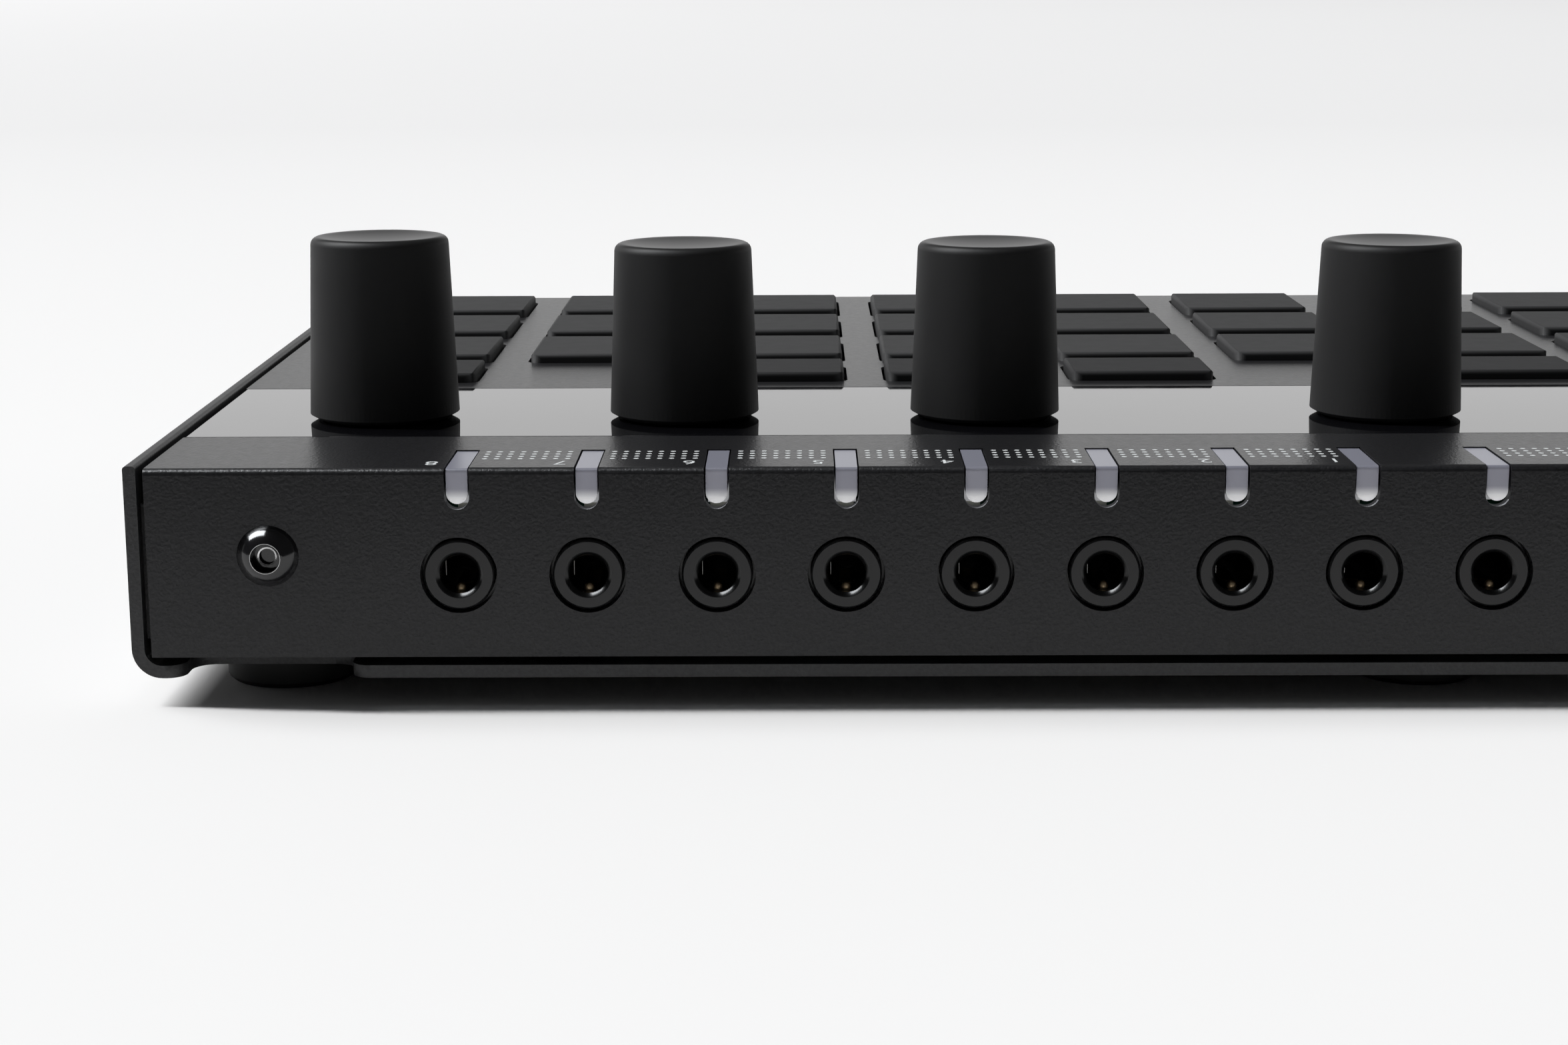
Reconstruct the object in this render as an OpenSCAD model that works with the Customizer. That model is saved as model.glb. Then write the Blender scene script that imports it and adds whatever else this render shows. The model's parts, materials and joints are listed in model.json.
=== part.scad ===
// Desktop step sequencer: bent sheet-metal case, rear jack row with light guides,
// glossy control strip with encoder knobs, and a field of silicone pads.
// Millimetres. +X is the player's right, -Y the player's side, +Z up, table at z = 0.

/* [Case] */
// Width over the side walls
case_w = 344.6; // [338:0.2:358]
// Depth from the front face to the rear face
case_d = 130; // [128:0.5:140]
// Height of the top surface above the table
top_z = 22.5; // [22:0.1:26]
// Thickness of the sheet metal
sheet = 1.2; // [1:0.05:1.4]
// Height of the side walls above the top surface
wall_rise = 0.3; // [0:0.05:0.6]
// Radius along the top edges of the side walls
wall_edge_r = 0.35; // [0.1:0.05:0.45]
// Gap between the side walls and the panels they enclose
side_gap = 0.65; // [0.3:0.05:0.9]
// Gap under the lower edge of the front and rear faces
plate_gap = 0.8; // [0.4:0.05:1]
// Outer radius of the bend between the bottom plate and a side wall
tray_bend_r = 2.8; // [2:0.1:4]
// Outer radius of the bend along the top edges of the front and rear faces
panel_bend_r = 0.6; // [0.5:0.1:1]
// Width of the relief notches in the corners of the bottom plate
notch_w = 15.6; // [12:0.1:18]
// Distance from a side wall's outer face to the nearest notch edge
notch_inset = 4.8; // [4.5:0.1:7]
// Depth of the relief notches
notch_d = 5.2; // [4.5:0.1:7]
// Plan radius of the notch's outer corners
notch_r = 1.8; // [1:0.1:2]
// Plan radius of the notch's inner corners
notch_root_r = 2.2; // [1:0.1:2.4]

/* [Feet] */
// Height of the rubber feet
foot_h = 2.6; // [2:0.1:4]
// Diameter of the rubber feet
foot_d = 12.7; // [10:0.1:13]
// Distance of the outer feet from the side walls' outer faces
foot_inset_x = 12.9; // [12:0.1:18]
// Gap between the outer feet and the notches beside them
foot_clear = 0.2; // [0.1:0.1:3]
// Half the distance between the inner feet
foot_inner_x = 50; // [40:1:60]

/* [Jacks] */
// Distance between neighbouring jacks
jack_pitch = 12; // [11.2:0.1:12.4]
// Distance of the first jack from the right side wall's outer face
jack_inset = 30.8; // [30:0.1:34]
// Distance of the jack axes below the top surface
jack_drop = 10.1; // [9.6:0.1:10.4]
// Bore of a jack
jack_bore = 3.6; // [3.55:0.01:3.7]
// Width of a jack's chamfered mouth
mouth_d = 4.4; // [3.9:0.05:4.8]
// Depth of a jack's chamfered mouth
mouth_depth = 0.35; // [0.2:0.05:0.6]
// Outer diameter of a jack's barrel
barrel_d = 6.65; // [6.2:0.05:7]
// Chamfer round the end of a jack's barrel
barrel_edge = 0.2; // [0.1:0.05:0.4]
// Radial clearance of a barrel in its panel hole
barrel_clear = 0.27; // [0.1:0.01:0.4]
// How far a barrel's end lies behind the rear face
barrel_sink = 0.15; // [0:0.05:0.4]
// Width of a jack's housing
socket_w = 9; // [8:0.1:10]
// Height of a jack's housing
socket_h = 8; // [7.4:0.1:8.2]
// Depth of a jack's bore behind its mouth
jack_depth = 14; // [13:0.1:14.2]
// Least gap between the last jack's housing and the power switch
row_end_gap = 10; // [6:0.5:14]

/* [Light guides] */
// Width of a light guide
guide_w = 2; // [1.6:0.05:2.4]
// How far a light guide runs down the rear face
guide_drop = 3.4; // [3:0.1:3.8]
// How far a light guide runs along the top surface
guide_reach = 9.5; // [8:0.1:11]
// How far a light guide lies below the surface round it
guide_sink = 0.35; // [0.1:0.05:0.6]
// Radius of a light guide's outer bend
guide_edge_r = 0.3; // [0.1:0.05:0.8]
// Clearance on each side of a light guide in its slot
guide_clear = 0.15; // [0.1:0.01:0.3]
// Free length of the slot below a light guide
guide_slot_tail = 0.5; // [0.2:0.1:0.8]

/* [Control strip] */
// Distance of the strip's rear edge from the rear face
strip_from = 17.2; // [16.5:0.1:18]
// Depth of the strip
strip_d = 30.8; // [29:0.1:31.5]
// Width of the lips that reach under the panels
strip_lip = 2.2; // [1.5:0.1:2.4]
// Thickness of the lips
strip_lip_t = 1.5; // [1.2:0.1:1.8]
// Gap round the strip
strip_gap = 0.15; // [0.1:0.01:0.3]
// Width of the display glass
display_w = 32; // [26:0.5:40]
// Depth of the display glass
display_d = 15; // [12:0.5:18]

/* [Encoders] */
// Distance of the first knob's axis from the right side wall's outer face
knob_side = 19.95; // [18:0.05:22]
// Distance of the knob axes from the strip's rear edge
knob_inset = 12.2; // [11:0.1:15]
// Diameter of a knob at its lower edge
knob_d = 15.1; // [14.6:0.1:16]
// Diameter of a knob at its top
knob_top_d = 13.9; // [12:0.1:14.4]
// Height of a knob
knob_h = 16.6; // [14:0.1:20]
// How much taller the first knob is than the others
first_knob_extra = 0.8; // [0:0.1:2]
// Gap between a knob and the strip
knob_gap = 1.2; // [0.8:0.05:1.8]
// Radius of a knob's top edge
knob_edge_r = 0.8; // [0.4:0.1:2]
// Depth of the dish in a knob's top
knob_dish = 0.4; // [0.1:0.1:0.8]
// Diameter of an encoder shaft
shaft_d = 6; // [5:0.1:6.2]
// Radial running clearance of a shaft
shaft_clear = 0.05; // [0.03:0.01:0.08]
// Outer diameter of an encoder's threaded bush
bush_d = 7.4; // [7.2:0.1:8]
// Width of an encoder's nut across its flats
nut_af = 10; // [9.5:0.1:10.4]
// Height of an encoder's nut
nut_h = 2; // [1.5:0.1:2.4]
// Side of an encoder's square housing
encoder_w = 12; // [11:0.1:13]
// Height of an encoder's housing
encoder_h = 6.5; // [5.5:0.1:6.8]

/* [Pads] */
// Distance between neighbouring pad columns and rows
pad_pitch = 20.5; // [19.8:0.1:20.6]
// Side of a pad
pad_w = 15.8; // [14:0.1:16.2]
// Corner radius of a pad
pad_r = 1.2; // [0.6:0.1:2]
// Height of a pad above the top surface
pad_rise = 1; // [0.9:0.1:1.6]
// Radius along the upper edges of the pads and keys
pad_edge_r = 0.45; // [0.2:0.05:0.8]
// Gap between the function keys and the first pad row
row_gap = 3.9; // [3.2:0.1:4.4]
// Least distance of the pads from the front face
front_margin = 4; // [3:0.1:5.5]
// Least width of the case beside the pad columns
side_margin = 7; // [6:0.1:8]
// Clearance round a pad in its opening
pad_clear = 0.35; // [0.3:0.01:0.5]
// Travel of the pads and keys
pad_travel = 0.8; // [0.5:0.1:0.9]
// Thickness of the silicone web that joins the pads of a column
web_t = 1.1; // [0.8:0.1:1.4]
// Gap between the web and the panel above it
web_gap = 0.3; // [0.2:0.05:0.5]
// Gap between neighbouring webs
web_apart = 0.7; // [0.6:0.05:1]
// Gap between the strip and the function keys
key_gap = 4.2; // [3.8:0.1:4.6]
// Depth of a function key
key_d = 11; // [9:0.1:11.4]

/* [Boards and fasteners] */
// Thickness of the circuit boards
board_t = 1.6; // [1.2:0.1:1.8]
// Diameter of the case screws' heads
head_d = 5.8; // [5:0.1:6.4]
// Height of the case screws' heads
head_h = 1.65; // [1.2:0.05:2]
// Diameter of the screws' threads
thread_d = 2.9; // [2.5:0.1:3.1]
// Length of the case screws' threads
screw_l = 4.6; // [4:0.1:5]
// Width of the screws' six-lobe recess over its lobes
lobe_d = 2.8; // [2.4:0.05:3]
// Width of the six-lobe recess between its lobes
lobe_root_d = 2.65; // [2:0.05:2.75]
// Distance of the case screws from the side walls' outer faces
screw_inset = 13.1; // [12.5:0.1:14]
// Distance of the case screws below the top surface
screw_drop = 8.2; // [7.5:0.1:9]
// Width of the power switch's lever
lever_w = 3; // [2.5:0.1:3.5]
// Travel of the power switch's lever
lever_travel = 2.5; // [2:0.1:3]
// Distance of the USB socket from the left side wall's outer face
usb_inset = 39.5; // [36:0.1:44]
// Distance between the USB socket and the power switch
switch_gap = 22; // [18:0.5:26]

/* [Hidden] */
$fn = 48;
// Overlap that makes a cut or a union clean
eps = 0.05;

// Distances from the rear face, one row after the other
strip_to = strip_from + strip_d;
knob_back = strip_from + knob_inset;
key_from = strip_to + key_gap;
pad_from = key_from + key_d + row_gap;

// As many pads as the case has room for
pad_columns = floor((case_w - 2 * side_margin) / pad_pitch);
pad_rows = floor((case_d - pad_from - front_margin + pad_pitch - pad_w) / pad_pitch);
// Places of the knobs, in pad columns to the left of the first knob
knob_steps = [0, 1.5, 3, 5];
// Columns, counted from the right, that have no function key
bare_key_columns = [2, 6, 10, 14];
key_columns = [for (c = [1 : pad_columns]) if (len(search(c, bare_key_columns)) == 0) c];

function two_digits(n) = n < 10 ? str("0", n) : str(n);
knob_names = [for (i = [1 : len(knob_steps)]) str("knob_", i)];
shaft_names = [for (i = [1 : len(knob_steps)]) str("encoder_shaft_", i)];
pad_names = [for (c = [1 : pad_columns]) str("pad_strip_", two_digits(c))];
key_names = [for (i = [1 : len(key_columns)]) str("function_key_", two_digits(i))];
fixed_names = ["bottom_tray", "rear_panel", "pad_panel", "control_strip", "display_module",
    "main_board", "jack_board", "led_board", "jack_sockets", "jack_contacts", "light_guides",
    "status_leds", "encoder_bodies", "encoder_nuts", "dome_sheet", "board_connector",
    "usb_socket", "power_switch_body", "standoffs", "case_screws", "bottom_screws", "rubber_feet"];

rear_y = case_d / 2;
side_x = case_w / 2;
panel_x = side_x - sheet - side_gap;
plate_z = foot_h;
plate_top = plate_z + sheet;
face_low = plate_top + plate_gap;
under_top = top_z - sheet;
rear_inner = rear_y - sheet;

// Power switch and USB socket at the left end of the jack row
lever_h = 2.4;
lever_clear = 0.3;
lever_out = 1.2;
lever_in = 3.2;
switch_wall = 1.2;
switch_d = 6.5;
switch_h = lever_h + 2 * lever_clear + 2 * switch_wall;
switch_w = lever_w + lever_travel + 2 * lever_clear + 2 * switch_wall;
usb_w = 9;
usb_h = 3.2;
usb_wall = 0.3;
usb_l = 7.3;
usb_back = 1;
usb_sink = 0.3;
usb_cut_gap = 0.25;
usb_tongue_w = 6.7;
usb_tongue_t = 0.7;
usb_tongue_l = 5;
usb_x = usb_inset - side_x;
switch_x = usb_x + switch_gap;

// Jack row: the housings stand on the jack board, and the light board lies on them
jack_row = side_x - jack_inset - (switch_x + switch_w / 2 + row_end_gap + socket_w / 2);
jack_n = 1 + floor(jack_row / jack_pitch);
jack_z = top_z - jack_drop;
barrel_face = rear_y - barrel_sink;
socket_gap = 0.4;
socket_front = rear_inner - socket_gap;
socket_back_wall = 1;
socket_back = barrel_face - jack_depth - socket_back_wall;
socket_low = jack_z - socket_h / 2;
socket_top = jack_z + socket_h / 2;
jack_board_top = socket_low;
board_end_gap = 6.8;
jack_board_end = 15;
jack_board_apron = 8.5;
jack_board_gap = 1.5;
main_board_x = panel_x - board_end_gap;
jack_board_x = main_board_x - jack_board_end;
jack_board_front = socket_back - jack_board_apron;
jack_board_rear = rear_inner - jack_board_gap;
led_board_t = 0.8;
led_board_apron = 3;
led_board_gap = 2.8;
led_board_end_gap = 1;
led_board_front = rear_y - guide_reach - led_board_apron;
led_board_rear = rear_inner - led_board_gap;
led_board_top = socket_top + led_board_t;
led_h = 0.7;
led_w = 1.6;
led_gap = 0.1;
guide_foot_l = 3;
led_y = rear_y - guide_reach + guide_foot_l / 2;
guide_low = top_z - guide_drop;
guide_foot_low = led_board_top + led_h + led_gap;
slot_w = guide_w + 2 * guide_clear;
contact_w = 1.1;
contact_t = 0.35;
contact_slot_clear = 0.2;
contact_back = 10.2;
contact_front = 4.2;
contact_crest = 5.4;

// Control strip, encoders and main board, stacked down from the top surface
strip_rear = rear_y - strip_from;
strip_front = rear_y - strip_to;
strip_under = under_top - strip_lip_t;
display_x = -pad_pitch * 4.5;
display_y = (strip_rear + strip_front) / 2;
display_rim = 2.5;
display_sink = 0.1;
knob_y = rear_y - knob_back;
knob_z = top_z + knob_gap;
knob_top_z = knob_z + knob_h;
bush_clear = 0.15;
thread_clear = 0.05;
bush_over_nut = 0.5;
bush_top = top_z + nut_h + bush_over_nut;
cavity_gap = 0.6;
cavity_r = nut_af / 2 / cos(30) + cavity_gap;
cavity_top = bush_top + cavity_gap;
shaft_seat = 0.7;
shaft_end_gap = 0.3;
shaft_grip = 9;
shaft_top = cavity_top + shaft_grip;
shaft_flat = shaft_d * 0.25;
grip_clear = 0.02;
main_board_top = strip_under - encoder_h;
main_board_low = main_board_top - board_t;
encoder_margin = 3;
screw_tip_gap = 0.5;
main_board_rear = knob_y + encoder_w / 2 + encoder_margin;
main_board_front = screw_l + screw_tip_gap - rear_y;

// Pads and keys: a web under the panel, key tops through it, plungers over the domes
pad_top = top_z + pad_rise;
web_top = under_top - web_gap;
web_z = web_top - web_t;
web_edge = 1.1;
web_r = 1.6;
web_w = pad_pitch - web_apart;
web_l = (pad_rows - 1) * pad_pitch + pad_w + 2 * web_edge;
pad_first_y = rear_y - pad_from - pad_w / 2;
pad_mid_y = pad_first_y - (pad_rows - 1) * pad_pitch / 2;
key_y = rear_y - key_from - key_d / 2;
dome_sheet_t = 0.6;
dome_h = 0.7;
dome_d = 5;
plunger_d = 6;
plunger_gap = 0.4;
dome_top = main_board_top + dome_sheet_t + dome_h;
plunger_z = dome_top + pad_travel + plunger_gap;
dome_margin = 1;
dome_sheet_rear = key_y + key_d / 2 + dome_margin;
dome_sheet_front = pad_y(pad_rows - 1) - pad_w / 2;

// Corner tabs, screws, standoffs and feet
tab_gap = 0.2;
tab_rise = 1.5;
tab_drop = 3.5;
tab_side = 1.5;
thread_play = 0.1;
screw_play = 0.5;
tab_low = face_low + tab_rise;
tab_high = top_z - tab_drop;
tab_in = notch_inset + notch_w + tab_side;
thread_hole = thread_d + thread_play;
clear_hole = thread_d + screw_play;
screw_z = top_z - screw_drop;
screw_x = side_x - screw_inset;
lobe_r = 0.4;
lobe_deep = 1.5;
pilot_d = 1.7;
pilot_deep = 0.5;
wall_top = top_z + wall_rise;
post_d = 6;
post_n = 4;
post_inset_x = 25;
post_inset_front = 24;
post_inset_rear = 28.6;
post_x = main_board_x - post_inset_x;
post_front = main_board_front + post_inset_front;
post_rear = main_board_rear - post_inset_rear;
post_places = [for (i = [0 : post_n - 1], y = [post_front, post_rear])
    [post_x * (2 * i / (post_n - 1) - 1), y]];
jack_post_inset_y = 4;
jack_post_inset_x = 5;
jack_post_step = 20;
jack_post_y = jack_board_front + jack_post_inset_y;
jack_post_outer = jack_board_x - jack_post_inset_x;
jack_post_inner = foot_inner_x - jack_post_step;
jack_post_places = [for (x = [jack_post_outer, jack_post_inner], s = [-1, 1]) [s * x, jack_post_y]];
post_share = 0.7;
screw_end_gap = 0.3;
bottom_head_d = 5.4;
bottom_head_h = 1.4;
foot_chamfer = 0.5;
foot_inset_y = notch_d + foot_d / 2 + foot_clear;
foot_places = [for (x = [-1, 1], inner = [false, true], y = [-1, 1])
    [x * (inner ? foot_inner_x : side_x - foot_inset_x), y * (rear_y - foot_inset_y)]];
connector_w = 30;
connector_d = 2.6;
connector_inset = 2;
connector_y = jack_board_front + connector_inset;

// Heights of the power switch and the USB socket, which stand on the jack board
switch_z = jack_board_top + switch_h / 2;
switch_front = rear_inner - socket_gap;
usb_z = jack_board_top + usb_h / 2;

function column_x(c) = ((pad_columns + 1) / 2 - c) * pad_pitch;
function knob_x(step) = side_x - knob_side - step * pad_pitch;
function jack_x(i) = side_x - jack_inset - i * jack_pitch;
function pad_y(row) = pad_first_y - row * pad_pitch;
function arc(cx, cy, r, from, to, n) =
    [for (i = [0 : n]) let (a = from + (to - from) * i / n) [cx + r * cos(a), cy + r * sin(a)]];

// Rectangle with round corners, centred on the origin
module rounded_rect(w, d, r) {
    square([w - 2 * r, d], center = true);
    square([w, d - 2 * r], center = true);
    for (x = [-1, 1], y = [-1, 1])
        translate([x * (w / 2 - r), y * (d / 2 - r)])
            circle(r);
}

// Corner left over outside a fillet of radius r, in the first quadrant
module spandrel(r) {
    difference() {
        square(r);
        circle(r);
    }
}

// Section of a sheet bent over one edge: the outer corner is the origin, and the sheet
// runs along -X for reach and along -Y for drop
module bent_section(reach, drop) {
    difference() {
        union() {
            translate([-reach, -sheet])
                square([reach, sheet]);
            translate([-sheet, -drop])
                square([sheet, drop]);
        }
        translate([-panel_bend_r, -panel_bend_r])
            spandrel(panel_bend_r);
    }
}

// Bent panel as wide as the space between the side walls, with its face at +Y
module bent_panel(reach) {
    translate([-panel_x, rear_y, top_z])
        rotate([90, 0, 90])
            linear_extrude(2 * panel_x)
                bent_section(reach, top_z - face_low);
}

// Cylinder along +Y from y0 to y1
module rod_y(x, y0, y1, z, d) {
    translate([x, y0, z])
        rotate([-90, 0, 0])
            cylinder(h = y1 - y0, d = d);
}

// Notch in the plan of the bottom plate, open towards +Y, with round corners
module notch_plan() {
    difference() {
        translate([-notch_w / 2, -notch_d])
            square([notch_w, notch_d + eps]);
        for (s = [-1, 1])
            translate([s * (notch_w / 2 - notch_root_r), notch_root_r - notch_d])
                mirror([s > 0 ? 0 : 1, 0])
                    mirror([0, 1])
                        spandrel(notch_root_r);
    }
    for (s = [-1, 1])
        translate([s * (notch_w / 2 + notch_r), -notch_r])
            mirror([s > 0 ? 1 : 0, 0])
                spandrel(notch_r);
}

module bottom_tray() {
    inner_r = tray_bend_r - sheet;
    wall_h = wall_top - plate_z;
    color("#1d1e20")
        difference() {
            union() {
                rotate([90, 0, 0])
                    translate([0, 0, -rear_y])
                        linear_extrude(case_d)
                            difference() {
                                tray_outline(side_x, plate_z, wall_h, tray_bend_r);
                                tray_outline(side_x - sheet, plate_top, wall_h, inner_r);
                                wall_edges();
                            }
                for (s = [-1, 1], t = [-1, 1])
                    scale([s, t, 1])
                        translate([side_x - tab_in, rear_inner - tab_gap - sheet, tab_low])
                            cube([tab_in - sheet / 2, sheet, tab_high - tab_low]);
            }
            for (s = [-1, 1], t = [-1, 1])
                scale([s, t, 1])
                    translate([side_x - notch_inset - notch_w / 2, rear_y, plate_z - eps])
                        linear_extrude(sheet + 2 * eps)
                            notch_plan();
            for (s = [-1, 1], t = [0, 1])
                mirror([0, t, 0])
                    rod_y(s * screw_x, rear_inner - screw_l, rear_inner, screw_z, thread_hole);
            for (p = concat(post_places, jack_post_places))
                translate([p[0], p[1], plate_z - eps])
                    cylinder(h = sheet + 2 * eps, d = clear_hole);
        }
}

// Section of the tray: a box from z with its lower corners rounded
module tray_outline(x, z, h, r) {
    difference() {
        translate([-x, z])
            square([2 * x, h + eps * (z > plate_z ? 1 : 0)]);
        for (s = [-1, 1])
            translate([s * (x - r), z + r])
                mirror([s > 0 ? 0 : 1, 0])
                    mirror([0, 1])
                        spandrel(r);
    }
}

// Corners cut from the tray's section to round the top edges of its side walls
module wall_edges() {
    for (s = [-1, 1], outer = [false, true])
        translate([s * (side_x - (outer ? wall_edge_r : sheet - wall_edge_r)), wall_top - wall_edge_r])
            mirror([outer == (s > 0) ? 0 : 1, 0])
                spandrel(wall_edge_r);
}

module rear_panel() {
    color("#2a2b2e")
        difference() {
            bent_panel(strip_from);
            for (i = [0 : jack_n - 1]) {
                rod_y(jack_x(i), rear_inner - eps, rear_y + eps, jack_z, barrel_d + 2 * barrel_clear);
                translate([jack_x(i), 0, 0])
                    guide_slot();
            }
            for (s = [-1, 1])
                rod_y(s * screw_x, rear_inner - eps, rear_y + eps, screw_z, clear_hole);
            translate([switch_x, rear_y + eps, switch_z])
                rotate([90, 0, 0])
                    linear_extrude(sheet + 2 * eps)
                        square([lever_w + lever_travel + 2 * lever_clear, lever_h + 2 * lever_clear],
                            center = true);
            translate([usb_x, rear_y + eps, usb_z])
                rotate([90, 0, 0])
                    linear_extrude(sheet + 2 * eps)
                        usb_outline(usb_cut_gap);
        }
}

// Slot for a light guide: square at its end on the top, round at its lower end on the rear
module guide_slot() {
    low = guide_low - guide_slot_tail;
    translate([-slot_w / 2, rear_y - guide_reach - guide_clear, under_top - eps])
        cube([slot_w, guide_reach + guide_clear + eps, sheet + 2 * eps]);
    translate([-slot_w / 2, rear_inner - eps, low + slot_w / 2])
        cube([slot_w, sheet + 2 * eps, top_z - low]);
    rod_y(0, rear_inner - eps, rear_y + eps, low + slot_w / 2, slot_w);
}

module pad_panel() {
    color("#2a2b2e")
        difference() {
            mirror([0, 1, 0])
                bent_panel(case_d - strip_to);
            translate([0, 0, under_top - eps])
                linear_extrude(sheet + 2 * eps)
                    key_openings();
            for (s = [-1, 1])
                rod_y(s * screw_x, -rear_y - eps, -rear_inner + eps, screw_z, clear_hole);
        }
}

module key_openings() {
    for (c = [1 : pad_columns], row = [0 : pad_rows - 1])
        translate([column_x(c), pad_y(row)])
            rounded_rect(pad_w + 2 * pad_clear, pad_w + 2 * pad_clear, pad_r + pad_clear);
    for (c = key_columns)
        translate([column_x(c), key_y])
            rounded_rect(pad_w + 2 * pad_clear, key_d + 2 * pad_clear, pad_r + pad_clear);
}

// Plan of the strip, drawn in by gap at its ends and widened by lip along its long edges
module strip_plan(lip) {
    translate([-panel_x + strip_gap, strip_front + strip_gap - lip])
        square([2 * (panel_x - strip_gap), strip_rear - strip_front - 2 * strip_gap + 2 * lip]);
}

module control_strip() {
    color("#0a0a0c")
        difference() {
            union() {
                translate([0, 0, strip_under])
                    linear_extrude(strip_lip_t)
                        strip_plan(strip_lip);
                translate([0, 0, strip_under])
                    linear_extrude(top_z - strip_under)
                        strip_plan(0);
            }
            for (step = knob_steps)
                translate([knob_x(step), knob_y, strip_under - eps])
                    cylinder(h = top_z - strip_under + 2 * eps, d = bush_d + 2 * bush_clear);
            translate([display_x, display_y, strip_under - eps])
                linear_extrude(top_z - strip_under + 2 * eps)
                    square([display_w + 2 * strip_gap, display_d + 2 * strip_gap], center = true);
        }
}

module display_module() {
    color("#15181c") {
        translate([display_x, display_y, main_board_top])
            linear_extrude(strip_under - main_board_top)
                square([display_w + 2 * display_rim, display_d + 2 * display_rim], center = true);
        translate([display_x, display_y, strip_under - eps])
            linear_extrude(top_z - display_sink - strip_under + eps)
                square([display_w, display_d], center = true);
    }
}

module main_board() {
    color("#1c4a33")
        translate([-main_board_x, main_board_front, main_board_low])
            cube([2 * main_board_x, main_board_rear - main_board_front, board_t]);
}

module jack_board() {
    color("#1c4a33")
        translate([-jack_board_x, jack_board_front, jack_board_top - board_t])
            cube([2 * jack_board_x, jack_board_rear - jack_board_front, board_t]);
}

module led_board() {
    margin = jack_pitch / 2 - led_board_end_gap;
    first = jack_x(0) + margin;
    last = jack_x(jack_n - 1) - margin;
    color("#1c4a33")
        translate([last, led_board_front, socket_top])
            cube([first - last, led_board_rear - led_board_front, led_board_t]);
}

module jack_sockets() {
    color("#161618")
        for (i = [0 : jack_n - 1])
            translate([jack_x(i), 0, jack_z])
                jack_socket();
}

// One jack on the Y axis: housing, barrel, chamfered mouth, blind bore, slot for the contact
module jack_socket() {
    difference() {
        union() {
            translate([-socket_w / 2, socket_back, -socket_h / 2])
                cube([socket_w, socket_front - socket_back, socket_h]);
            rod_y(0, socket_front - eps, barrel_face - barrel_edge, 0, barrel_d);
            translate([0, barrel_face - barrel_edge, 0])
                rotate([-90, 0, 0])
                    cylinder(h = barrel_edge, d1 = barrel_d, d2 = barrel_d - 2 * barrel_edge);
        }
        rod_y(0, barrel_face - jack_depth, barrel_face, 0, jack_bore);
        translate([0, barrel_face - mouth_depth, 0])
            rotate([-90, 0, 0])
                cylinder(h = mouth_depth, d1 = jack_bore, d2 = mouth_d);
        translate([-contact_w / 2 - contact_slot_clear, barrel_face - contact_back - contact_slot_clear,
                -socket_h / 2 - eps])
            cube([contact_w + 2 * contact_slot_clear, contact_back - contact_front + contact_slot_clear,
                socket_h / 2]);
    }
}

module jack_contacts() {
    color("#b08d57")
        for (i = [0 : jack_n - 1])
            translate([jack_x(i) - contact_w / 2, barrel_face, jack_z])
                rotate([90, 0, 90])
                    linear_extrude(contact_w)
                        contact_section();
}

// Side view of a contact: a leg up from the board, a rising leaf, a crest under the bore
module contact_section() {
    crest = -jack_bore / 2 - 0.05;
    low = -socket_h / 2;
    bend = (crest + low) / 2;
    polygon([[-contact_back, low], [-contact_back, bend], [-contact_crest, crest],
        [-contact_front - contact_slot_clear, crest - contact_t],
        [-contact_front - contact_slot_clear, crest - 2 * contact_t],
        [-contact_crest, crest - contact_t], [-contact_back + contact_t, bend - contact_t / 2],
        [-contact_back + contact_t, low]]);
}

module light_guides() {
    color("#c9c8d6")
        for (i = [0 : jack_n - 1])
            translate([jack_x(i), 0, 0])
                light_guide();
}

// One light guide: a bar along the top, a round-ended leg down the rear face, a foot on its LED
module light_guide() {
    outer_y = rear_y - guide_sink;
    outer_z = top_z - guide_sink;
    back_y = rear_y - guide_reach;
    leg = outer_y - rear_inner + sheet;
    bar_t = guide_drop - guide_sink - guide_w / 2;
    difference() {
        union() {
            translate([-guide_w / 2, back_y, outer_z - bar_t])
                cube([guide_w, outer_y - back_y, bar_t]);
            rod_y(0, outer_y - leg, outer_y, guide_low + guide_w / 2, guide_w);
            translate([-guide_w / 2, back_y, guide_foot_low])
                cube([guide_w, guide_foot_l, outer_z - guide_foot_low]);
        }
        translate([0, outer_y - guide_edge_r, outer_z - guide_edge_r])
            rotate([90, 0, 90])
                translate([0, 0, -guide_w])
                    linear_extrude(2 * guide_w)
                        spandrel(guide_edge_r);
    }
}

module status_leds() {
    color("#e8e4d8")
        for (i = [0 : jack_n - 1])
            translate([jack_x(i) - led_w / 2, led_y - led_w / 2, led_board_top])
                cube([led_w, led_w, led_h]);
}

module encoder_bodies() {
    color("#8e9196")
        for (step = knob_steps)
            translate([knob_x(step), knob_y, 0])
                difference() {
                    union() {
                        translate([-encoder_w / 2, -encoder_w / 2, main_board_top])
                            cube([encoder_w, encoder_w, encoder_h]);
                        translate([0, 0, strip_under - eps])
                            cylinder(h = bush_top - strip_under + eps, d = bush_d);
                    }
                    translate([0, 0, main_board_top + shaft_seat])
                        cylinder(h = bush_top, d = shaft_d + 2 * shaft_clear);
                }
}

module encoder_nuts() {
    color("#1b1b1d")
        for (step = knob_steps)
            translate([knob_x(step), knob_y, top_z])
                difference() {
                    cylinder(h = nut_h, d = nut_af / cos(30), $fn = 6);
                    translate([0, 0, -eps])
                        cylinder(h = nut_h + 2 * eps, d = bush_d + 2 * thread_clear);
                }
}

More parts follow.
